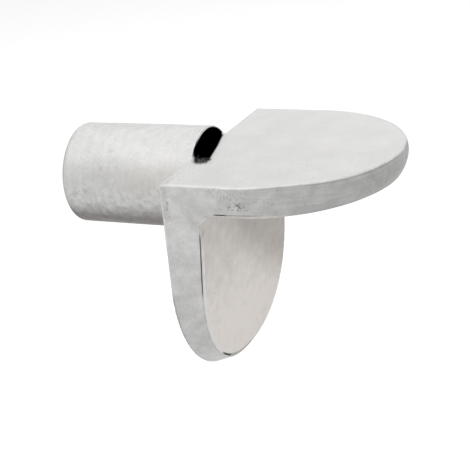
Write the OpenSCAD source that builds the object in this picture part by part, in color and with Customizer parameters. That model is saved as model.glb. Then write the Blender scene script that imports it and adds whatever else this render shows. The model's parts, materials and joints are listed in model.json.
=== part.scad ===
// Shelf support pin: one die-cast piece. A round pin plugs into a hole in the side of a
// cabinet, a flat plate carries the shelf and a leg below it bears against the cabinet.
//
// Frame, in millimetres: the origin is on the pin's axis, in the plane of the bracket's flat
// back. The pin points along -X into the cabinet's side, the plate reaches out along +X,
// +Z is up and Y runs across the bracket, which is the same on both sides of Y = 0.

/* [Pin] */
// Diameter of the pin, which is that of the hole it plugs into
pin_d = 5; // [4.6:0.1:7]
// Length of the pin behind the bracket
pin_length = 7.2; // [4:0.1:12]
// Rounding round the pin's free end
pin_end_r = 0.35; // [0.1:0.05:0.8]

/* [Bracket] */
// Width of the plate and of the leg's back
bracket_w = 11.8; // [9:0.1:16]
// Height of the plate's top above the pin's axis
plate_rise = 1.7; // [1.2:0.05:2]
// Bevel that breaks the edge round the plate's top
edge_break = 0.1; // [0.05:0.05:0.3]
// Rounding in the inner corner, between the plate and the leg
corner_r = 0.75; // [0.2:0.05:1.2]

/* [Plate] */
// Reach of the plate from the bracket's back to the tip of its nose
plate_reach = 9.6; // [8.5:0.1:14]
// Thickness of the plate at the bracket's back
plate_root_t = 1.6; // [1.2:0.05:2.2]
// Thickness of the plate at the tip of its nose
plate_tip_t = 1.4; // [0.8:0.05:1.6]
// Draft of the plate's sides, in degrees
plate_draft = 9; // [2:0.5:14]

/* [Leg] */
// Drop of the leg from the plate's top to its tip
leg_drop = 11.05; // [9:0.05:16]
// Thickness of the leg at the level of the plate's top
leg_root_t = 1.55; // [1.2:0.05:2.2]
// Thickness of the leg at its tip
leg_tip_t = 0.95; // [0.7:0.05:1.5]
// Draft of the leg's sides, in degrees
leg_draft = 26; // [16:0.5:28]
// Drop below the plate over which the plate's sides run into the leg's
side_blend = 0.8; // [0.6:0.05:1.5]

/* [Recess] */
// Depth of the three-sided recess at the root of the pin below the plate's top
recess_sink = 0.3; // [0.15:0.05:0.5]
// Distance of the recess's back wall, where the pin's shoulder ends, behind the bracket's back
recess_back = 0.15; // [0.1:0.01:0.2]
// Length of that back wall
recess_run = 2.95; // [2.5:0.05:3.1]
// Distance of the back wall's far end to the side, seen from in front of the bracket
recess_far_y = 1.6; // [1.4:0.05:1.7]
// Radius of the recess's round front corner
recess_front_r = 0.36; // [0.25:0.01:0.4]
// How far the front corner reaches in front of the bracket's back
recess_reach = 0.92; // [0.8:0.02:1]
// Distance across the bracket from the back wall's near end to the front corner's centre
recess_slant = 1.05; // [0.9:0.05:1.3]

/* [Hidden] */
half_w = bracket_w / 2;
pin_r = pin_d / 2;

// Cutting shapes run this far past what they cut
over = 1;

// Slope of the plate's underside and of the leg's front, as rise over reach and run over drop
under_slope = (plate_root_t - plate_tip_t) / plate_reach;
front_slope = (leg_root_t - leg_tip_t) / leg_drop;
under_angle = atan(under_slope);
front_angle = atan(front_slope);

// Inner corner, where the plate's underside meets the leg's front, as [x, drop below the top]
corner_x = (leg_root_t - front_slope * plate_root_t) / (1 - front_slope * under_slope);
corner_drop = plate_root_t - under_slope * corner_x;

// The rounding there: its centre, and how far it reaches along the plate and the leg
corner_half_angle = (90 + front_angle + under_angle) / 2;
corner_run = corner_r / tan(corner_half_angle);
corner_to_centre = corner_r / sin(corner_half_angle);
corner_turn = under_angle - corner_half_angle;

// What the plate's and the leg's draft take off each side, at the plate's bottom, at its
// nose's and at the leg's front
plate_inset = (plate_root_t - edge_break) * tan(plate_draft);
leg_inset = leg_root_t * tan(leg_draft);

$fn = 96;

// Half of the plate's section, its top at zero: a broken edge and a drafted side
module plate_half_section() {
    polygon([
        [0, 0],
        [half_w - edge_break, 0],
        [half_w, -edge_break],
        [half_w - plate_inset, -plate_root_t],
        [0, -plate_root_t]
    ]);
}

// Half of the section where the plate passes over the leg: the side runs on below the
// plate's bottom, and leans in until it meets the leg's own side
module root_half_section() {
    plate_half_section();
    polygon([
        [0, -plate_root_t],
        [half_w - plate_inset, -plate_root_t],
        [half_w - leg_inset, -plate_root_t - side_blend],
        [0, -plate_root_t - side_blend]
    ]);
}

// Half of the leg's section, its back at zero
module leg_half_section() {
    polygon([
        [0, 0],
        [half_w, 0],
        [half_w - leg_inset, -leg_root_t],
        [0, -leg_root_t]
    ]);
}

// A bar of a half section's two halves, along +X
module bar(length) {
    rotate([90, 0, 90])
        linear_extrude(length)
            for (side = [0, 1])
                mirror([side, 0])
                    children();
}

// A bar of a half section that ends in a half-round nose of the bracket's width
module tongue(length) {
    straight = length - half_w;
    bar(straight)
        children();
    translate([straight, 0, 0])
        rotate([0, 0, -90])
            rotate_extrude(angle = 180)
                children();
}

// The flat plate, its sides running into the leg's at its root
module plate() {
    translate([0, 0, plate_rise]) {
        tongue(plate_reach)
            plate_half_section();
        bar(leg_root_t + corner_run)
            root_half_section();
    }
}

// The leg, hanging from just under the plate's broken edge
module leg() {
    translate([0, 0, plate_rise - edge_break])
        rotate([0, 90, 180])
            tongue(leg_drop - edge_break)
                leg_half_section();
}

// The room under the plate and in front of the leg, with the inner corner's rounding
module inner_room() {
    far_x = plate_reach + over;
    far_drop = leg_drop + over;
    translate([0, 0, plate_rise])
        rotate([90, 0, 0])
            linear_extrude(bracket_w + 2 * over, center = true) {
                polygon([
                    [
                        corner_x + corner_run * cos(under_angle),
                        -corner_drop + corner_run * sin(under_angle)
                    ],
                    [far_x, under_slope * far_x - plate_root_t],
                    [far_x, -far_drop],
                    [leg_root_t - front_slope * far_drop, -far_drop],
                    [
                        corner_x - corner_run * sin(front_angle),
                        -corner_drop - corner_run * cos(front_angle)
                    ]
                ]);
                translate([
                    corner_x + corner_to_centre * cos(corner_turn),
                    -corner_drop + corner_to_centre * sin(corner_turn)
                ])
                    circle(corner_r);
            }
}

// The round pin, its free end rounded, standing above the plate's top behind the bracket
module pin() {
    rotate([0, -90, 0]) {
        rotate_extrude() {
            square([pin_r, pin_length - pin_end_r]);
            square([pin_r - pin_end_r, pin_length]);
            translate([pin_r - pin_end_r, pin_length - pin_end_r])
                circle(pin_end_r);
        }
    }
}

// The point where a line from p touches a circle round c of radius r, on the side given as
// 1 for the left and -1 for the right
function touching(p, c, r, side) =
    let (
        run = norm(c - p),
        along = (c - p) / run,
        left = [-along[1], along[0]],
        lean = r / run
    )
    c + r * (side * left * sqrt(1 - lean * lean) - along * lean);

// The recess: a three-sided pocket with a round front corner, sunk into the plate's top and
// through the shoulder that the pin makes behind it
module recess() {
    far = [-recess_back, recess_far_y];
    near = far - [0, recess_run];
    front = [recess_reach - recess_front_r, near[1] - recess_slant];
    translate([0, 0, plate_rise - recess_sink])
        linear_extrude(pin_r + over) {
            polygon([
                far,
                near,
                touching(near, front, recess_front_r, -1),
                touching(far, front, recess_front_r, 1)
            ]);
            translate(front)
                circle(recess_front_r);
        }
}

module shelf_support() {
    color("silver")
        difference() {
            union() {
                difference() {
                    union() {
                        plate();
                        leg();
                    }
                    inner_room();
                }
                pin();
            }
            recess();
        }
}

shelf_support();
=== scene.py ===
"""Looks of the shelf support pin: one cast metal piece on a white studio floor.

The form is a signed distance, in millimetres, built from the same sizes as the solid, with its
edges rounded as those of a casting are. It is meshed once and given one procedural metal.
"""

import json
import math
from types import SimpleNamespace

import bpy
import numpy as np
from mathutils import Matrix, Vector


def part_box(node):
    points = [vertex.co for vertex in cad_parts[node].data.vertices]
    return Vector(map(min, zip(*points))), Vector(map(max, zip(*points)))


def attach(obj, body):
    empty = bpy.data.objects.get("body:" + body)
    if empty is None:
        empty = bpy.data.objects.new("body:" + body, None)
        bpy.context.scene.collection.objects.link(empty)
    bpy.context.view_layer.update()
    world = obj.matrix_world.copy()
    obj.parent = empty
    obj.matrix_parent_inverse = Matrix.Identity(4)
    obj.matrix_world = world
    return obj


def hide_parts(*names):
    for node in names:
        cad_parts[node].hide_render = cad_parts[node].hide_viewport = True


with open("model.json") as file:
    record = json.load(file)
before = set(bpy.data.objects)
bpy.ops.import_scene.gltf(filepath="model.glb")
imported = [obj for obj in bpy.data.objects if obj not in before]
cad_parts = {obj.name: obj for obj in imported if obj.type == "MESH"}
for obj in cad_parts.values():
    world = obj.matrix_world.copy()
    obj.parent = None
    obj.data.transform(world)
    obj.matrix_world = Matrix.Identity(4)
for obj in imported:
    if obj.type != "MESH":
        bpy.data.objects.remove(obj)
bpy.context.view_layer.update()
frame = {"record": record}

MM = 0.001
NODE = "shelf_support"

# Sizes that the frame gives, in millimetres
MOUNTS = {mount["name"]: mount for mount in frame["record"]["mounts"]}
NODE_LOW, NODE_HIGH = (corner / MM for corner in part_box(NODE))
PIN_R = MOUNTS["pin"]["dims"]["r_mm"]
PIN_TIP = NODE_LOW.x
PIN_LENGTH = -PIN_TIP
HALF_WIDTH = NODE_HIGH.y
PLATE_TOP = MOUNTS["shelf_rest"]["pos_m"][2] / MM
PLATE_REACH = NODE_HIGH.x
LEG_DROP = PLATE_TOP - NODE_LOW.z

# Sizes that the solid has too, in millimetres and degrees
PIN_END_R = 0.35
PLATE_ROOT_T, PLATE_TIP_T, PLATE_DRAFT = 1.6, 1.4, 9.0
CORNER_R = 0.75
RECESS_SINK = 0.3

# The recess's corners in plan: x, y and the radius of the circle that the outline runs round
RECESS_FAR = (-0.15, 1.60, 0)
RECESS_NEAR = (-0.15, -1.35, 0)
RECESS_FRONT = (0.56, -2.40, 0.36)

# The black painted as deep shade in and round the recess reaches as far as an outline of the same
# kind does
BLACK_CORNERS = (
    (-0.09, 1.58, 0.06),
    (0.02, -1.30, 0.30),
    (0.10, -1.56, 0.31),
    (0.60, -2.38, 0.38),
    (0.66, -2.58, 0.30),
    (0.15, -0.30, 0.32),
)

# Thickness of the leg at the level of the plate's top and at its tip, 0.07 more than the solid's
LEG_ROOT_T, LEG_TIP_T = 1.62, 1.02

# How far the leg's sides and its tip draw in for each millimetre to the front, and how the
# tip's outline squares up: the power of its superellipse at the back and its growth
LEG_SIDE_DRAW, LEG_TIP_DRAW = 0.48, 0.50
LEG_BACK_POWER, LEG_SQUARING = 1.98, 0.26

# Edges: the radius to which each is rounded, or how far it is bevelled
TOP_EDGE_R = 0.05
BACK_EDGE_R = 0.07
INNER_BEVEL = 0.08
RECESS_RIM_R = 0.01

# How much the pin's radius shrinks over its outer half
PIN_TAPER = 0.025

# Round the nose the side is crowned: it has its full width at this depth, and draws in toward
# the top and the underside by so much; this grows from the first x to the second
NOSE_SWELL_DEPTH, NOSE_TOP_IN, NOSE_FOOT_IN = 0.4, 0.10, 0.38
NOSE_FROM, NOSE_TO = 3.0, 8.5

# The near side is flatter round this x, over this reach; the inset fades to none at this depth
FLAT_X, FLAT_REACH, FLAT_INSET, FLAT_DEPTH = 5.9, 1.6, 0.33, 4

# The drafted sides of the plate run into those of the leg from this depth on
SIDE_BLEND_FROM, SIDE_BLEND_RATE, SIDE_BLEND_R = 1.35, 0.31, 0.25

# Grid on which the form is meshed: its cell, and how far it reaches past the piece
CELL = 0.09
MARGIN = 0.35

# How vertices are pulled onto the surface and onto sharp rims: the rounds, the step for slopes,
# the least squared slope, the damping, and how far a vertex may end up outside its cell
PROJECTIONS = 4
GRADIENT_STEP = 0.004
LEAST_SLOPE_SQUARED = 0.25
RIM_DAMPING = 1e-4
RIM_SLACK = 0.01

# Slope of the plate's underside, as rise over reach, and of the leg's front, as run over drop
UNDER_SLOPE = (PLATE_ROOT_T - PLATE_TIP_T) / PLATE_REACH
FRONT_SLOPE = (LEG_ROOT_T - LEG_TIP_T) / LEG_DROP

# How far the middle of the rounding round the plate's top lies inside the sharp edge
TOP_EDGE_IN = TOP_EDGE_R * (1 - math.sqrt(0.5))


# ---------------------------------------------------------------- the form


def meet_round(a, b, r):
    """What is inside both, with the edge between them rounded to radius r."""
    outside = np.hypot(np.maximum(a + r, 0), np.maximum(b + r, 0))
    return outside + np.minimum(np.maximum(a, b), -r)


def meet_bevel(a, b, width):
    """What is inside both, with the edge between them bevelled."""
    return np.maximum(np.maximum(a, b), (a + b + width) * math.sqrt(0.5))


def join_smooth(a, b, r):
    """What is inside either, with the valley between them filled over a reach of r."""
    near = np.maximum(r - np.abs(a - b), 0) / r
    return np.minimum(a, b) - near * near * r / 4


def tongue(along, across, reach):
    """Distance from a strip of the bracket's width with a half-round nose at reach."""
    return np.hypot(np.maximum(along - reach + HALF_WIDTH, 0), across) - HALF_WIDTH


def leg_sides(depth, y, x):
    """Distance from the leg's sides and tip, which draw in and square up to the front."""
    ahead = np.clip(x, 0, LEG_ROOT_T)
    past_middle = np.maximum(depth - LEG_DROP + HALF_WIDTH, 0)
    half_height = HALF_WIDTH - LEG_TIP_DRAW * ahead
    half_width = HALF_WIDTH - LEG_SIDE_DRAW * ahead
    power = LEG_BACK_POWER + LEG_SQUARING * ahead
    share = (past_middle / half_height) ** power + (np.abs(y) / half_width) ** power
    return (share ** (1 / power) - 1) * half_width


def sides(x, y, z):
    """The drafted sides of the plate and of the leg, run together at the corner."""
    depth = PLATE_TOP - z
    lean = math.radians(PLATE_DRAFT)
    run_in = SIDE_BLEND_RATE * np.maximum(depth - SIDE_BLEND_FROM, 0) ** 2
    nose = np.clip((x - NOSE_FROM) / (NOSE_TO - NOSE_FROM), 0, 1) ** 2
    above = np.maximum(NOSE_SWELL_DEPTH - depth, 0) / NOSE_SWELL_DEPTH
    below = np.maximum(depth - NOSE_SWELL_DEPTH, 0) / (PLATE_TIP_T - NOSE_SWELL_DEPTH)
    crown = NOSE_TOP_IN * above**2 + NOSE_FOOT_IN * below**2
    draw_in = (1 - nose) * math.tan(lean) * depth + nose * crown
    flat = np.where(y < 0, FLAT_INSET, 0) * np.exp(-(((x - FLAT_X) / FLAT_REACH) ** 2))
    draw_in = np.maximum(draw_in, flat * (1 - depth / FLAT_DEPTH))
    plate = tongue(x, y, PLATE_REACH) + draw_in + run_in
    leg = np.maximum(leg_sides(depth, y, x), x - LEG_ROOT_T)
    both = join_smooth(plate * math.cos(lean), leg, SIDE_BLEND_R)
    return np.maximum(both, np.abs(y) - HALF_WIDTH)


def inner_room(x, z):
    """The room under the plate and in front of the leg, round at its corner."""
    depth = PLATE_TOP - z
    under = (PLATE_ROOT_T - UNDER_SLOPE * x - depth) * math.cos(math.atan(UNDER_SLOPE))
    front = (LEG_ROOT_T - FRONT_SLOPE * depth - x) * math.cos(math.atan(FRONT_SLOPE))
    return meet_round(under, front, CORNER_R)


def bracket(x, y, z):
    """The plate and the leg, their edges rounded, with the room between them cut out."""
    body = meet_round(sides(x, y, z), z - PLATE_TOP, TOP_EDGE_R)
    body = meet_round(body, -x, BACK_EDGE_R)
    return meet_bevel(body, -inner_room(x, z), INNER_BEVEL)


def pin(x, y, z):
    """The round pin, its free end rounded, standing above the plate behind its back edge."""
    outer = np.clip(-2 * x / PIN_LENGTH - 1, 0, 1)
    radial = np.hypot(y, z) - PIN_R + PIN_TAPER * outer
    shaft = meet_round(radial, -PIN_LENGTH - x, PIN_END_R)
    above = np.maximum(shaft, x - RECESS_FAR[0])
    below = np.maximum(np.maximum(shaft, x - LEG_TIP_T / 2), z - PLATE_TOP + BACK_EDGE_R)
    return np.minimum(above, below)


def plan_distance(x, y, corners):
    """Distance in plan from a convex outline drawn round circles, given anticlockwise."""
    bands = []
    outward = []
    for (ax, ay, a_r), (bx, by, b_r) in zip(corners, corners[1:] + corners[:1]):
        run = math.hypot(bx - ax, by - ay)
        along = ((x - ax) * (bx - ax) + (y - ay) * (by - ay)) / run
        across = ((x - ax) * (by - ay) - (y - ay) * (bx - ax)) / run
        lean = (a_r - b_r) / run
        nearest = np.clip(along - np.abs(across) * lean / math.sqrt(1 - lean**2), 0, run)
        bands.append(np.hypot(along - nearest, across) - a_r + lean * nearest)
        outward.append(across)
    return np.minimum(np.min(bands, axis=0), np.max(outward, axis=0))


def recess(x, y, z):
    """The three-sided pocket at the root of the pin, open at its top."""
    outline = plan_distance(x, y, (RECESS_FAR, RECESS_NEAR, RECESS_FRONT))
    return np.maximum(outline, PLATE_TOP - RECESS_SINK - z)


def solid(x, y, z):
    """The piece before the recess is sunk into it."""
    return np.minimum(bracket(x, y, z), pin(x, y, z))


def form(x, y, z):
    """Signed distance of the whole piece, negative inside."""
    return meet_round(solid(x, y, z), -recess(x, y, z), RECESS_RIM_R)


def gradient(points, field=form):
    """Direction in which a field grows, by central differences."""
    columns = []
    for axis in range(3):
        step = np.zeros(3)
        step[axis] = GRADIENT_STEP
        columns.append(field(*(points + step).T) - field(*(points - step).T))
    return np.stack(columns, axis=1) / (2 * GRADIENT_STEP)


# ---------------------------------------------------------------- the mesh


def grid_distances():
    """Corner of the grid and the distance at each of its points."""
    low = np.array(NODE_LOW) - MARGIN
    counts = np.ceil((np.array(NODE_HIGH) + MARGIN - low) / CELL).astype(int) + 1
    axes = [low[i] + CELL * np.arange(counts[i]) for i in range(3)]
    slices = []
    for x in axes[0]:
        y, z = np.meshgrid(axes[1], axes[2], indexing="ij")
        slices.append(form(np.full_like(y, x), y, z))
    return low, np.stack(slices)


def net_vertices(low, values):
    """A vertex in each cell that the surface crosses, the cell's corner, and its index by cell."""
    inside = values < 0
    cells = tuple(n - 1 for n in values.shape)
    corners = [(i, j, k) for i in (0, 1) for j in (0, 1) for k in (0, 1)]

    def at(array, corner):
        """What an array of the grid's points holds at one corner of each cell."""
        return array[tuple(slice(c, c + n) for c, n in zip(corner, cells))]

    filled = sum(at(inside, c).astype(np.int8) for c in corners)
    crossed = (filled > 0) & (filled < len(corners))
    index = np.full(cells, -1)
    index[crossed] = np.arange(crossed.sum())

    # The mean of the points where the surface crosses the cell's edges
    total = np.zeros((int(crossed.sum()), 3))
    count = np.zeros(len(total))
    for a in corners:
        for axis in range(3):
            if a[axis]:
                continue
            b = tuple(c + (i == axis) for i, c in enumerate(a))
            va, vb = at(values, a)[crossed], at(values, b)[crossed]
            hit = (va < 0) != (vb < 0)
            share = np.where(hit, va / np.where(hit, va - vb, 1), 0)
            point = np.tile(np.array(a, float), (len(total), 1))
            point[:, axis] += share
            total[hit] += point[hit]
            count[hit] += 1
    cell_corners = low + CELL * np.stack(np.nonzero(crossed), axis=1)
    return cell_corners + CELL * total / count[:, None], cell_corners, index


def net_quads(inside, index):
    """A quad round each edge of the grid that the surface crosses, facing outward."""
    quads = []
    for axis in range(3):
        u, v = (axis + 1) % 3, (axis + 2) % 3
        first = [slice(None)] * 3
        second = [slice(None)] * 3
        first[axis], second[axis] = slice(None, -1), slice(1, None)
        a, b = inside[tuple(first)], inside[tuple(second)]
        for entering in (False, True):
            edges = np.stack(np.nonzero((a != b) & (a == entering)), axis=1)
            ring = []
            for du, dv in ((0, 0), (1, 0), (1, 1), (0, 1)):
                cell = edges.copy()
                cell[:, u] -= du
                cell[:, v] -= dv
                ring.append(index[tuple(cell.T)])
            quad = np.stack(ring, axis=1)
            quads.append(quad if entering else quad[:, ::-1])
    return np.concatenate(quads)


def pull_to_surface(points):
    """Moves each vertex onto the form's surface."""
    for _ in range(PROJECTIONS):
        slope = gradient(points)
        length = np.maximum((slope**2).sum(axis=1), LEAST_SLOPE_SQUARED)
        shift = slope * (form(*points.T) / length)[:, None]
        points = points - np.clip(shift, -CELL / 2, CELL / 2)
    return points


def pull_to_rim(points, cell_corners, field_a, field_b):
    """Moves the vertex of each cell that a sharp rim, where two fields are zero, runs through."""
    near = (np.abs(field_a(*points.T)) < CELL) & (np.abs(field_b(*points.T)) < CELL)
    rim = points[near]
    for _ in range(PROJECTIONS):
        values = np.stack([field_a(*rim.T), field_b(*rim.T)], axis=1)
        slopes = np.stack([gradient(rim, field_a), gradient(rim, field_b)], axis=1)
        square = slopes @ slopes.transpose(0, 2, 1) + RIM_DAMPING * np.eye(2)
        shares = np.linalg.solve(square, values[..., None])[..., 0]
        rim = rim - np.einsum("nij,ni->nj", slopes, shares)
    offset = rim - cell_corners[near]
    keep = ((offset > -RIM_SLACK) & (offset < CELL + RIM_SLACK)).all(axis=1)
    moved = points.copy()
    moved[np.flatnonzero(near)[keep]] = rim[keep]
    return moved


def rounded_side(x, y, z):
    """Distance from the sides, zero along the middle of the rounding round the plate's top."""
    return sides(x, y, z) + TOP_EDGE_IN


def rounded_top(x, y, z):
    """Distance from the plate's top, zero along the middle of the same rounding."""
    return z - PLATE_TOP + TOP_EDGE_IN


def cast_piece():
    """The whole support as one mesh, with the form's own normals and its distances in mm."""
    low, values = grid_distances()
    points, cell_corners, index = net_vertices(low, values)
    quads = net_quads(values < 0, index)
    points = pull_to_surface(points)
    points = pull_to_rim(points, cell_corners, solid, recess)
    points = pull_to_rim(points, cell_corners, rounded_side, rounded_top)
    normals = gradient(points)
    normals /= np.linalg.norm(normals, axis=1, keepdims=True)
    mesh = bpy.data.meshes.new("cast_support")
    mesh.from_pydata((points * MM).tolist(), [], quads.tolist())
    mesh.polygons.foreach_set("use_smooth", [True] * len(mesh.polygons))
    mesh.normals_split_custom_set_from_vertices(normals.tolist())
    x, y, z = points.T
    fields = {
        "from_sides": sides(x, y, z),
        "from_leg_sides": leg_sides(PLATE_TOP - z, y, x),
        "from_room": inner_room(x, z),
        "from_recess": recess(x, y, z),
        "from_black": plan_distance(x, y, BLACK_CORNERS),
    }
    for name, values in fields.items():
        mesh.attributes.new(name, "FLOAT", "POINT").data.foreach_set("value", values)
    piece = bpy.data.objects.new("cast_support", mesh)
    bpy.context.scene.collection.objects.link(piece)
    print("cast_support:", len(points), "vertices,", 2 * len(quads), "triangles")
    return piece


# ---------------------------------------------------------------- materials

# Colours of the metal: most of it, the leg's front, its corner in the plate's painted shadow,
# browner, its near rim under a painted highlight, the pin where it is warmer, and its underside
METAL = (0.855, 0.85, 0.84, 1)
LEG_FRONT_METAL = (0.87, 0.822, 0.78, 1)
STAINED_METAL = (0.87, 0.812, 0.75, 1)
WORN_METAL = (0.87, 0.85, 0.83, 1)
WARM_METAL = (0.865, 0.84, 0.81, 1)
PINK_METAL = (0.87, 0.815, 0.795, 1)
# Black, painted as the deep shade in and round the recess
BLACK = (0, 0, 0, 1)

# The most by which the tones lighten the metal's colour, which takes it to about full white
MAX_LEVEL = 1.15

# How the metal shines, which is duller than polished metal and smoother where its grain is dark,
# and its relief, whose height is in millimetres
METALLIC, SPECULAR = 0.3, 0.5
SMOOTHEST, ROUGHEST = 0.45, 0.58
RELIEF_STRENGTH, RELIEF_HEIGHT = 0.5, 0.02

# A Mix node's sockets for colours, which share their names with those for numbers
MIX_FACTOR, MIX_FROM, MIX_TO, MIX_RESULT = 0, 6, 7, 2

# Small dark marks on the pin and in the leg front's upper corner: centre, radius and how dark
DARK_MARKS = (
    ((-4.54, -1.79, 1.74), 0.14, 0.90),
    ((-4.94, -2.28, 1.03), 0.18, 0.90),
    ((-5.88, -2.50, -0.12), 0.16, 0.88),
    ((1.47, -4.91, -0.90), 0.25, 0.86),
)


class Painter:
    """One material: places in millimetres, masks made from them, and layers laid on by masks."""

    def __init__(self, name):
        self.material = bpy.data.materials.new(name)
        self.material.use_nodes = True
        self.nodes = self.material.node_tree.nodes
        self.links = self.material.node_tree.links
        self.shader = self.nodes["Principled BSDF"]
        coordinates = self.nodes.new("ShaderNodeTexCoord")
        scale = self.nodes.new("ShaderNodeVectorMath")
        scale.operation = "SCALE"
        scale.inputs["Scale"].default_value = 1 / MM
        self.links.new(coordinates.outputs["Object"], scale.inputs[0])
        self.place = scale.outputs["Vector"]
        self.x, self.y, self.z = self.parts(self.place)
        self.facing_x, _, self.facing_z = self.parts(coordinates.outputs["Normal"])

    def parts(self, vector):
        """The three parts of a vector."""
        separate = self.nodes.new("ShaderNodeSeparateXYZ")
        self.links.new(vector, separate.inputs[0])
        return separate.outputs

    def feed(self, socket, value):
        """Gives a socket a number, a colour or another socket's value."""
        if isinstance(value, bpy.types.NodeSocket):
            self.links.new(value, socket)
        else:
            socket.default_value = value

    def math(self, operation, *values):
        """The result of a math node."""
        node = self.nodes.new("ShaderNodeMath")
        node.operation = operation
        for socket, value in zip(node.inputs, values):
            self.feed(socket, value)
        return node.outputs["Value"]

    def field(self, name):
        """A distance in millimetres that the mesh carries."""
        node = self.nodes.new("ShaderNodeAttribute")
        node.attribute_name = name
        return node.outputs["Fac"]

    def ramp(self, value, start, end, low=0.0, high=1.0, kind="SMOOTHSTEP"):
        """Goes from low, where value is start, to high, where it is end; start may be above end."""
        node = self.nodes.new("ShaderNodeMapRange")
        node.interpolation_type = kind
        node.inputs["From Min"].default_value = start
        node.inputs["From Max"].default_value = end
        node.inputs["To Min"].default_value = low
        node.inputs["To Max"].default_value = high
        self.feed(node.inputs["Value"], value)
        return node.outputs["Result"]

    def band(self, value, low, high, soft):
        """A mask that is 1 where value lies between low and high, its ends soft to both sides."""
        return self.all_of(
            self.ramp(value, low - soft, low + soft), self.ramp(value, high + soft, high - soft)
        )

    def all_of(self, *masks):
        """A mask that is 1 where all the given ones are."""
        product = masks[0]
        for mask in masks[1:]:
            product = self.math("MULTIPLY", product, mask)
        return product

    def any_of(self, *masks):
        """A mask that is 1 where any of the given ones is."""
        most = masks[0]
        for mask in masks[1:]:
            most = self.math("MAXIMUM", most, mask)
        return most

    def rest_of(self, mask):
        """A mask that is 1 where the given one is 0."""
        return self.math("SUBTRACT", 1.0, mask)

    def spot(self, centre, radius):
        """A mask that fades from 1 to 0 over the outer half of a small ball about a point."""
        node = self.nodes.new("ShaderNodeVectorMath")
        node.operation = "DISTANCE"
        node.inputs[1].default_value = centre
        self.links.new(self.place, node.inputs[0])
        return self.ramp(node.outputs["Value"], radius, radius / 2)

    def noise(self, size, detail=2.0, stretch=(1, 1, 1), shift=0.0):
        """Noise with grains of about size millimetres, longer by stretch along each axis."""
        mapping = self.nodes.new("ShaderNodeMapping")
        mapping.inputs["Location"].default_value = (shift, shift, shift)
        mapping.inputs["Scale"].default_value = [1 / (size * factor) for factor in stretch]
        self.links.new(self.place, mapping.inputs["Vector"])
        node = self.nodes.new("ShaderNodeTexNoise")
        node.inputs["Scale"].default_value = 1.0
        node.inputs["Detail"].default_value = detail
        self.links.new(mapping.outputs["Vector"], node.inputs["Vector"])
        return node.outputs["Fac"]

    def vary(self, noise, low, high):
        """Spreads a noise, most of which lies between 0.3 and 0.7, from low to high."""
        return self.ramp(noise, 0.3, 0.7, low, high, "LINEAR")

    def layer(self, level, mask, factor):
        """Multiplies a level by factor, a number or a socket, where the mask is 1."""
        node = self.nodes.new("ShaderNodeMix")
        node.inputs["A"].default_value = 1.0
        self.feed(node.inputs["B"], factor)
        self.feed(node.inputs["Factor"], mask)
        return self.math("MULTIPLY", level, node.outputs["Result"])

    def tint(self, colour, mask, toward):
        """Mixes a colour toward another where the mask is 1."""
        node = self.nodes.new("ShaderNodeMix")
        node.data_type = "RGBA"
        self.feed(node.inputs[MIX_FROM], colour)
        self.feed(node.inputs[MIX_TO], toward)
        self.feed(node.inputs[MIX_FACTOR], mask)
        return node.outputs[MIX_RESULT]

    def shade(self, colour, level):
        """A colour times a level."""
        node = self.nodes.new("ShaderNodeVectorMath")
        node.operation = "SCALE"
        self.links.new(colour, node.inputs[0])
        self.links.new(level, node.inputs["Scale"])
        return node.outputs["Vector"]


def find_places(paint):
    """Masks of the piece's parts, and the distances in millimetres that the mesh carries."""
    at = SimpleNamespace()
    at.from_sides = paint.field("from_sides")
    at.from_leg_sides = paint.field("from_leg_sides")
    at.from_room = paint.field("from_room")
    at.from_recess = paint.field("from_recess")
    at.from_black = paint.field("from_black")
    at.near_side = paint.ramp(paint.y, 0, -1)
    at.pin = paint.ramp(paint.x, -0.005, -0.05)
    at.shaft = paint.all_of(at.pin, paint.ramp(paint.x, PIN_TIP + 0.005, PIN_TIP + 0.04))
    at.bracket = paint.rest_of(at.pin)
    at.top = paint.all_of(paint.ramp(paint.facing_z, 0.9, 0.98), paint.ramp(paint.x, -0.05, 0.0))
    at.off_top = paint.rest_of(at.top)
    at.plate_side = paint.all_of(
        paint.band(paint.facing_z, -0.85, 0.6, 0.1), paint.ramp(paint.z, -0.1, 0.15), at.bracket
    )
    at.leg_front = paint.all_of(
        paint.ramp(paint.facing_x, 0.88, 0.96), paint.ramp(paint.z, 0.35, 0.1)
    )
    # A painted highlight, broken up, along the leg front's near rim
    at.front_rim = paint.all_of(
        at.leg_front,
        paint.band(at.from_leg_sides, -0.29, -0.09, 0.03),
        paint.ramp(paint.y, -2.2, -3.0),
        paint.ramp(paint.z, -1.0, -1.9),
        paint.ramp(paint.noise(0.35, detail=2, shift=41), 0.35, 0.55, 0.4, 1.0),
    )
    # The plate's painted shadow on the leg's front, reaching toward the far corner
    toward_corner = paint.math("ADD", paint.z, paint.math("MULTIPLY", paint.y, 0.75))
    at.stained = paint.all_of(
        at.leg_front, paint.ramp(toward_corner, -5.0, -1.9), paint.ramp(paint.y, -3.5, 0.5)
    )
    at.leg_tip = paint.all_of(
        paint.ramp(paint.facing_x, 0.4, 0.6), paint.ramp(paint.z, -7.2, -7.6)
    )
    at.leg_side = paint.all_of(
        paint.ramp(at.from_sides, -0.03, -0.01), paint.ramp(paint.z, 0.35, -0.1), at.bracket
    )
    at.pale_strip = paint.all_of(
        at.near_side,
        paint.ramp(at.from_room, 0.16, 0.14),
        paint.ramp(at.from_sides, -0.12, -0.09),
        paint.band(paint.x, 2.8, 5.7, 0.4),
    )
    find_cracks(paint, at)
    return at


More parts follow.
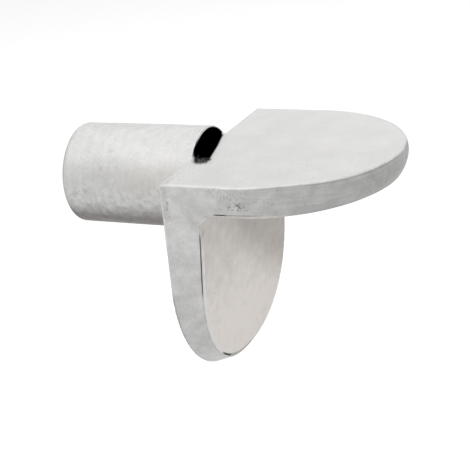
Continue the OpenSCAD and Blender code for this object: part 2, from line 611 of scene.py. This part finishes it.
def find_cracks(paint, at):
    """Adds masks of painted shade in thin grooves: the hairline down the leg, the line under the
    plate and the black lines.
    """
    at.hairline = paint.all_of(at.near_side, paint.band(at.from_room, 0.03, 0.065, 0.01))
    under_plate = paint.all_of(at.near_side, at.bracket, paint.ramp(paint.z, -0.1, 0.1))
    at.plate_crack = paint.all_of(
        under_plate,
        paint.band(at.from_room, 0.155, 0.19, 0.012),
        paint.band(paint.x, 2.9, 4.5, 0.4),
    )
    slit = paint.all_of(
        under_plate,
        paint.band(at.from_room, 0.145, 0.205, 0.012),
        paint.band(paint.x, 2.5, 3.05, 0.12),
    )
    tip_mark = paint.all_of(
        at.leg_tip,
        paint.band(at.from_leg_sides, -0.15, -0.06, 0.02),
        paint.band(paint.y, -3.4, -2.5, 0.2),
    )
    black_hairline = paint.all_of(at.hairline, paint.band(paint.z, -3.9, -0.9, 0.3))
    at.cracks = paint.any_of(black_hairline, slit, tip_mark)


def casting_tones(paint, at, mottling, grain):
    """Soft clouds, mottling, fine grain, a few dark specks and small marks."""
    level = paint.vary(paint.noise(1.6, detail=2), 0.96, 1.03)
    mottled = paint.all_of(at.off_top, paint.rest_of(paint.any_of(at.leg_front, at.pin)))
    level = paint.layer(level, mottled, paint.vary(mottling, 0.90, 1.08))
    level = paint.layer(level, at.pin, paint.vary(mottling, 0.96, 1.04))
    level = paint.layer(level, at.leg_front, paint.vary(mottling, 0.93, 1.06))
    fine_grained = paint.any_of(at.leg_front, at.top)
    level = paint.layer(level, paint.rest_of(fine_grained), paint.vary(grain, 0.95, 1.05))
    level = paint.layer(level, fine_grained, paint.vary(grain, 0.98, 1.02))
    specks = paint.ramp(paint.noise(0.2, detail=1, shift=3), 0.72, 0.80)
    level = paint.layer(level, paint.all_of(specks, at.off_top), 0.75)
    for centre, radius, factor in DARK_MARKS:
        level = paint.layer(level, paint.spot(centre, radius), factor)
    return level


def pin_tones(paint, at, level):
    """Bands round the pin, a blotchy underside, painted shade under it, on its free end's low side
    and where it meets the bracket, a dark line round its free end, and a painted highlight along
    its top.
    """
    bands = paint.noise(0.22, detail=3, stretch=(1, 12, 12), shift=1)
    level = paint.layer(level, at.pin, paint.vary(bands, 0.97, 1.02))
    blotches = paint.noise(0.3, detail=3, shift=23)
    blotched = paint.all_of(at.pin, paint.ramp(paint.z, 0.8, -0.8))
    level = paint.layer(level, blotched, paint.vary(blotches, 0.83, 1.17))
    level = paint.layer(level, at.pin, paint.ramp(paint.z, 0.9, 0.3, 1.02, 1.04))
    # Painted shade on the pin's underside
    level = paint.layer(level, paint.all_of(at.shaft, paint.ramp(paint.z, -0.4, -1.8)), 0.48)
    # Painted shade on the low side of the free end
    low_end = paint.all_of(
        at.shaft,
        paint.ramp(paint.x, PIN_TIP + 0.6, PIN_TIP + 0.2),
        paint.ramp(paint.z, -0.3, -1.5),
    )
    level = paint.layer(level, low_end, 0.6)
    end_rim = paint.all_of(
        paint.ramp(paint.x, PIN_TIP + 0.21, PIN_TIP + 0.11), paint.ramp(paint.z, 2.1, 1.6)
    )
    level = paint.layer(level, end_rim, 0.62)
    # Painted shade where the pin meets the bracket
    at_root = paint.all_of(
        at.pin, paint.ramp(paint.x, -0.16, -0.05), paint.ramp(paint.y, -1.9, -2.2)
    )
    level = paint.layer(level, at_root, 0.8)
    # A painted highlight along the pin's upper part
    return paint.layer(level, paint.all_of(at.pin, paint.band(paint.z, 1.0, 1.9, 0.3)), 1.02)


def plate_tones(paint, at, level):
    """The plate's side, brushed, darker toward its nose by painted shade, with painted shade under
    its top edge and a dark line above its underside.
    """
    brushed = paint.all_of(at.plate_side, paint.ramp(paint.x, 3.0, 4.6))
    streaks = paint.noise(0.06, detail=2, stretch=(30, 30, 1), shift=5)
    level = paint.layer(level, brushed, paint.vary(streaks, 0.91, 1.07))
    # Painted shade: the plate's side darker than the leg's, and darker again at its nose
    level = paint.layer(level, paint.all_of(at.plate_side, paint.ramp(paint.x, 2.2, 6.2)), 0.76)
    level = paint.layer(level, paint.all_of(at.plate_side, paint.ramp(paint.x, 8.0, 9.5)), 0.86)
    # Painted shade along the rounding below the top edge
    under_edge = paint.all_of(
        at.plate_side,
        at.near_side,
        paint.band(paint.z, PLATE_TOP - 0.13, PLATE_TOP - 0.05, 0.02),
        paint.ramp(paint.x, 5.8, 7.4),
    )
    level = paint.layer(level, under_edge, 0.8)
    above_underside = paint.all_of(
        at.near_side, paint.band(at.from_room, 0.03, 0.11, 0.02), paint.ramp(paint.x, 5.6, 7.0)
    )
    return paint.layer(level, above_underside, 0.78)


def root_marks(paint, at, level):
    """Scratches and pits in the plate's near side, close to its root."""
    near_root = paint.all_of(at.plate_side, at.near_side)
    level = paint.layer(level, paint.all_of(near_root, paint.ramp(paint.x, 3.6, 2.6)), 1.025)
    scratched = paint.all_of(
        near_root, paint.band(paint.x, 2.3, 3.4, 0.25), paint.ramp(paint.z, 0.9, 1.3)
    )
    scratches = paint.ramp(paint.noise(0.05, detail=1, stretch=(1, 1, 7), shift=11), 0.55, 0.66)
    level = paint.layer(level, paint.all_of(scratched, scratches), 0.72)
    pitted = paint.all_of(
        near_root, paint.band(paint.x, 2.6, 4.2, 0.4), paint.band(paint.z, 0.5, 1.5, 0.2)
    )
    pits = paint.ramp(paint.noise(0.1, detail=1, shift=11), 0.62, 0.70)
    level = paint.layer(level, paint.all_of(pitted, pits), 0.62)
    pit_cluster = paint.all_of(
        near_root, paint.band(paint.x, 3.25, 3.95, 0.15), paint.band(paint.z, 0.6, 0.95, 0.1)
    )
    holes = paint.ramp(paint.noise(0.11, detail=1, shift=31), 0.52, 0.60)
    return paint.layer(level, paint.all_of(pit_cluster, holes), 0.4)


def top_tones(paint, at, level):
    """The plate's top, lighter near its root and speckled, with marks in its near corner."""
    level = paint.layer(level, at.top, paint.ramp(paint.x, 0.0, 4.0, 1.025, 0.995))
    near_corner = paint.all_of(
        at.top, paint.ramp(paint.x, 3.0, 1.0), paint.ramp(paint.y, -2.8, -4.2)
    )
    marks = paint.ramp(paint.noise(0.1, detail=2, shift=13), 0.48, 0.66)
    level = paint.layer(level, paint.all_of(near_corner, marks), 0.86)
    speckles = paint.ramp(paint.noise(0.13, detail=2, shift=43), 0.56, 0.68)
    return paint.layer(level, paint.all_of(at.top, speckles, paint.ramp(paint.y, 2.0, -2.0)), 0.90)


def leg_tones(paint, at, level):
    """The leg's front, darker under the plate by painted shade and darkest toward the far corner in
    the plate's painted shadow, and its side, darker toward the bottom.
    """
    level = paint.layer(level, at.leg_front, paint.ramp(paint.z, 0.2, -7.0, 0.84, 1.17))
    level = paint.layer(level, at.stained, 0.66)
    return paint.layer(level, at.leg_side, paint.ramp(paint.z, 0.0, -4.0, 1.04, 0.95))


def outer_edges(paint, at, level):
    """Painted highlights on the edges of the plate's top and the upper back, dirt beside them, and
    a dark lower back.
    """
    top_edge = paint.all_of(
        at.near_side,
        paint.ramp(at.from_sides, -0.26, -0.16),
        paint.ramp(paint.z, PLATE_TOP - 0.12, PLATE_TOP - 0.06),
        paint.ramp(paint.x, 5.0, 3.5),
    )
    # A painted highlight along the top edge
    level = paint.layer(level, top_edge, 1.07)
    at_near_back = paint.all_of(at.bracket, paint.ramp(paint.y, -4.6, -5.2))
    upper_back = paint.all_of(at_near_back, paint.ramp(paint.z, -1.7, -1.0))
    # A painted highlight along the upper back edge
    level = paint.layer(level, paint.all_of(upper_back, paint.ramp(paint.x, 0.11, 0.07)), 1.15)
    beside_back = paint.all_of(
        at_near_back, paint.band(paint.x, 0.10, 0.34, 0.05), paint.ramp(paint.z, -0.2, 0.3)
    )
    level = paint.layer(level, beside_back, 0.90)
    dirt = paint.ramp(paint.noise(0.12, detail=2, stretch=(1, 1, 2), shift=19), 0.54, 0.66)
    level = paint.layer(level, paint.all_of(beside_back, dirt), 0.65)
    lower_back = paint.all_of(
        at.near_side, at.bracket, paint.ramp(paint.x, 0.14, 0.05), paint.ramp(paint.z, -3.2, -4.2)
    )
    return paint.layer(level, lower_back, 0.7)


def inner_edges(paint, at, level):
    """Painted highlights on the edges round the room under the plate and on the leg front's rim, a
    pale strip, and painted shade in the inner corner and along the edge at the leg's tip.
    """
    worn = paint.all_of(
        paint.ramp(at.from_room, 0.085, 0.065), paint.ramp(at.from_sides, -0.11, -0.07), at.bracket
    )
    # Painted highlights along these edges and the leg front's rim
    level = paint.layer(level, worn, 1.14)
    level = paint.layer(level, at.front_rim, 1.25)
    level = paint.layer(level, at.pale_strip, 1.2)
    # Painted shade in the inner corner
    around_corner = paint.all_of(
        at.near_side,
        paint.band(at.from_room, 0.015, 0.04, 0.01),
        paint.ramp(paint.x, 3.1, 2.7),
        paint.ramp(paint.z, -0.9, -0.5),
    )
    level = paint.layer(level, around_corner, 0.7)
    # Painted shade along the edge at the leg's tip
    tip_edge = paint.all_of(
        at.leg_tip, paint.ramp(at.from_leg_sides, -0.19, -0.14), paint.band(paint.y, -2.6, 0.3, 0.3)
    )
    return paint.layer(level, tip_edge, 0.6)


def crack_tones(paint, at, level):
    """Painted shade in thin grooves: grey far from the inner corner, black close to it and at the
    leg's tip.
    """
    grey_hairline = paint.all_of(at.hairline, paint.band(paint.z, -7.8, -3.9, 0.3))
    level = paint.layer(level, grey_hairline, 0.72)
    level = paint.layer(level, at.plate_crack, 0.45)
    return paint.layer(level, at.cracks, 0.12)


def recess_black(paint, at):
    """A mask of the black painted as deep shade in and round the recess, soft, ragged and dusty at
    its near end.
    """
    ragged = paint.vary(paint.noise(0.09, detail=2, shift=2), -0.16, 0.16)
    ragged = paint.math("MULTIPLY", ragged, paint.ramp(paint.y, -1.7, -2.4))
    soft_border = paint.ramp(paint.y, -1.5, -2.4, 0.05, 0.16)
    black_edge = paint.math("DIVIDE", paint.math("ADD", at.from_black, ragged), soft_border)
    back_wall = RECESS_FAR[0]
    round_recess = paint.all_of(
        paint.ramp(black_edge, 1, -1),
        paint.ramp(paint.z, PLATE_TOP - 0.5, PLATE_TOP - 0.4),
        paint.ramp(paint.x, back_wall - 0.05, back_wall - 0.015),
    )
    y_squared = paint.math("MULTIPLY", paint.y, paint.y)
    z_squared = paint.math("MULTIPLY", paint.z, paint.z)
    off_axis = paint.math("SQRT", paint.math("ADD", y_squared, z_squared))
    pale_rim = paint.all_of(
        paint.ramp(off_axis, PIN_R - 0.08, PIN_R - 0.04), paint.ramp(paint.y, -1.4, -0.8)
    )
    dust = paint.all_of(
        paint.ramp(paint.z, PLATE_TOP - 0.1, PLATE_TOP - 0.25),
        paint.ramp(paint.y, -1.0, -1.8),
        paint.ramp(paint.noise(0.08, detail=1, shift=37), 0.35, 0.70, 0, 0.35),
    )
    walls = paint.all_of(paint.ramp(at.from_recess, 0.02, 0.005), paint.ramp(paint.y, -2.0, -1.6))
    return paint.all_of(
        paint.any_of(round_recess, walls), paint.rest_of(pale_rim), paint.rest_of(dust)
    )


def metal_colour(paint, at):
    """The metal's own colour, which differs a little from place to place."""
    colour = paint.tint(METAL, at.leg_front, LEG_FRONT_METAL)
    # Browner in the plate's painted shadow
    colour = paint.tint(colour, at.stained, STAINED_METAL)
    # The leg front's near rim, under its painted highlight
    colour = paint.tint(colour, at.front_rim, WORN_METAL)
    warm = paint.all_of(
        at.pin, paint.band(paint.x, -3.6, -0.8, 0.6), paint.band(paint.z, -0.1, 1.2, 0.5)
    )
    colour = paint.tint(colour, warm, WARM_METAL)
    underside = paint.all_of(at.shaft, paint.ramp(paint.z, -0.9, -1.7))
    colour = paint.tint(colour, underside, PINK_METAL)
    return paint.tint(colour, at.pale_strip, PINK_METAL)


def cast_metal():
    """Pale cast metal: mottled and specked, brushed along the plate's side, with painted highlights
    and shade at its edges.
    """
    paint = Painter("cast_zinc")
    at = find_places(paint)
    sockets = paint.shader.inputs
    mottling = paint.noise(0.5, detail=3, shift=17)
    grain = paint.noise(0.15, detail=2, shift=7)
    level = casting_tones(paint, at, mottling, grain)
    for tones in (
        pin_tones,
        plate_tones,
        root_marks,
        top_tones,
        leg_tones,
        outer_edges,
        inner_edges,
        crack_tones,
    ):
        level = tones(paint, at, level)
    colour = paint.shade(metal_colour(paint, at), paint.math("MINIMUM", level, MAX_LEVEL))
    # The recess's deep shade is painted black
    black = recess_black(paint, at)
    paint.links.new(paint.tint(colour, black, BLACK), sockets["Base Color"])

    # The pin's underside is dull, and the recess's painted black shade and the painted shade in the
    # grooves mirror nothing
    under_pin = paint.all_of(at.shaft, paint.ramp(paint.z, -0.9, -1.8, 0, 0.65))
    dull = paint.any_of(black, under_pin, at.cracks)
    paint.links.new(paint.ramp(dull, 0, 1, METALLIC, 0, "LINEAR"), sockets["Metallic"])
    paint.links.new(paint.ramp(dull, 0, 1, SPECULAR, 0, "LINEAR"), sockets["Specular IOR Level"])
    paint.links.new(paint.vary(grain, SMOOTHEST, ROUGHEST), sockets["Roughness"])

    relief = paint.math("MULTIPLY", mottling, paint.ramp(at.pin, 0, 1, 1.0, 0.4, "LINEAR"))
    relief = paint.math("ADD", relief, paint.math("MULTIPLY", grain, 0.35))
    bump = paint.nodes.new("ShaderNodeBump")
    bump.inputs["Strength"].default_value = RELIEF_STRENGTH
    bump.inputs["Distance"].default_value = RELIEF_HEIGHT * MM
    paint.links.new(relief, bump.inputs["Height"])
    paint.links.new(bump.outputs["Normal"], sockets["Normal"])
    return paint.material


# ---------------------------------------------------------------- camera and light

# The camera's bearing from the front, its height and its roll, in degrees; its distance from the
# point it aims at; how far that point lies right of and above the origin as the camera sees it;
# and its focal length and the picture's width, in pixels
CAMERA_AZIMUTH, CAMERA_ELEVATION, CAMERA_ROLL = 25.002, 21.030, -5.887
CAMERA_DISTANCE = 69.357
AIM_RIGHT, AIM_UP = 0.989, -2.810
FOCAL_PIXELS, IMAGE_PIXELS = 1428.841, 470

# The floor: its width, its level, its colour, and how strongly it glows where the camera or a
# reflection sees it
FLOOR_SIZE, FLOOR_Z = 3000, -40
FLOOR_COLOUR, FLOOR_ROUGHNESS = (0.8, 0.8, 0.8, 1), 0.9
FLOOR_GLOW = 0.85

# The white light from all round; then the lamps' width and distance, and for each its bearing
# from the front and its height, in degrees, and its power
WORLD_LIGHT = 0.02
LAMP_SIZE, LAMP_DISTANCE = 140, 200
LAMPS = {
    "front_high": (0, 60, 0.129),
    "right": (45, 30, 0.068),
    "right_low": (135, 5, 0.045),
    "back": (180, 30, 0.038),
    "back_left": (225, 60, 0.053),
    "left_high": (315, 60, 0.028),
}


def outward(azimuth, elevation):
    """Direction from the origin at a bearing from the front and a height, in degrees."""
    turn, lift = math.radians(azimuth), math.radians(elevation)
    return Vector(
        (
            math.sin(turn) * math.cos(lift),
            -math.cos(turn) * math.cos(lift),
            math.sin(lift),
        )
    )


def photo_camera():
    """The camera at the photograph's angle, with its slight roll."""
    azimuth, roll = math.radians(CAMERA_AZIMUTH), math.radians(CAMERA_ROLL)
    forward = -outward(CAMERA_AZIMUTH, CAMERA_ELEVATION)
    level = Vector((math.cos(azimuth), math.sin(azimuth), 0))
    right = Matrix.Rotation(-roll, 3, forward) @ level
    up = right.cross(forward)
    aim = right * AIM_RIGHT + up * AIM_UP
    turned = Matrix((right, up, -forward)).transposed().to_4x4()
    data = bpy.data.cameras.new("photo_camera")
    data.lens = FOCAL_PIXELS / IMAGE_PIXELS * data.sensor_width
    data.clip_start = 0.001
    data.clip_end = 10
    camera = bpy.data.objects.new("photo_camera", data)
    camera.matrix_world = Matrix.Translation((aim - forward * CAMERA_DISTANCE) * MM) @ turned
    bpy.context.scene.collection.objects.link(camera)
    bpy.context.scene.camera = camera


def area_light(name, azimuth, elevation, power):
    """A soft square lamp aimed at the piece."""
    data = bpy.data.lights.new(name, "AREA")
    data.size = LAMP_SIZE * MM
    data.energy = power
    direction = outward(azimuth, elevation)
    lamp = bpy.data.objects.new(name, data)
    lamp.location = direction * LAMP_DISTANCE * MM
    lamp.rotation_euler = direction.to_track_quat("Z", "Y").to_euler()
    bpy.context.scene.collection.objects.link(lamp)


def seen_or_reflected(nodes, links):
    """A socket that is 1 for rays from the camera, a reflection or a refraction, else 0."""
    path = nodes.new("ShaderNodeLightPath")
    last = path.outputs["Is Camera Ray"]
    for kind in ("Is Glossy Ray", "Is Transmission Ray"):
        either = nodes.new("ShaderNodeMath")
        either.operation = "MAXIMUM"
        links.new(last, either.inputs[0])
        links.new(path.outputs[kind], either.inputs[1])
        last = either.outputs["Value"]
    return last


def white_world(strength):
    """Plain white light from all round, and plain white where the camera sees it."""
    world = bpy.data.worlds.new("studio")
    world.use_nodes = True
    bpy.context.scene.world = world
    nodes, links = world.node_tree.nodes, world.node_tree.links
    background = nodes["Background"]
    background.inputs["Color"].default_value = (1, 1, 1, 1)
    level = nodes.new("ShaderNodeMapRange")
    level.inputs["To Min"].default_value = strength
    links.new(seen_or_reflected(nodes, links), level.inputs["Value"])
    links.new(level.outputs["Result"], background.inputs["Strength"])


def white_floor():
    """A wide white floor below the piece, at full white to the camera where nothing shades it."""
    bpy.ops.mesh.primitive_plane_add(size=FLOOR_SIZE * MM, location=(0, 0, FLOOR_Z * MM))
    floor = bpy.context.object
    floor.name = "floor"
    material = bpy.data.materials.new("floor")
    material.use_nodes = True
    nodes, links = material.node_tree.nodes, material.node_tree.links
    shader = nodes["Principled BSDF"]
    shader.inputs["Base Color"].default_value = FLOOR_COLOUR
    shader.inputs["Roughness"].default_value = FLOOR_ROUGHNESS
    shader.inputs["Specular IOR Level"].default_value = 0
    shader.inputs["Emission Color"].default_value = (1, 1, 1, 1)
    glow = nodes.new("ShaderNodeMath")
    glow.operation = "MULTIPLY"
    glow.inputs[1].default_value = FLOOR_GLOW
    links.new(seen_or_reflected(nodes, links), glow.inputs[0])
    links.new(glow.outputs["Value"], shader.inputs["Emission Strength"])
    floor.data.materials.append(material)


def studio():
    """A white world and floor, and soft lamps all round."""
    white_world(WORLD_LIGHT)
    white_floor()
    for name, (azimuth, elevation, power) in LAMPS.items():
        area_light(name, azimuth, elevation, power)


# ---------------------------------------------------------------- the scene

bpy.context.scene.view_settings.view_transform = "Standard"
photo_camera()
studio()

cast = cast_piece()
cast.data.materials.append(cast_metal())
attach(cast, "root")
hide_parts(NODE)
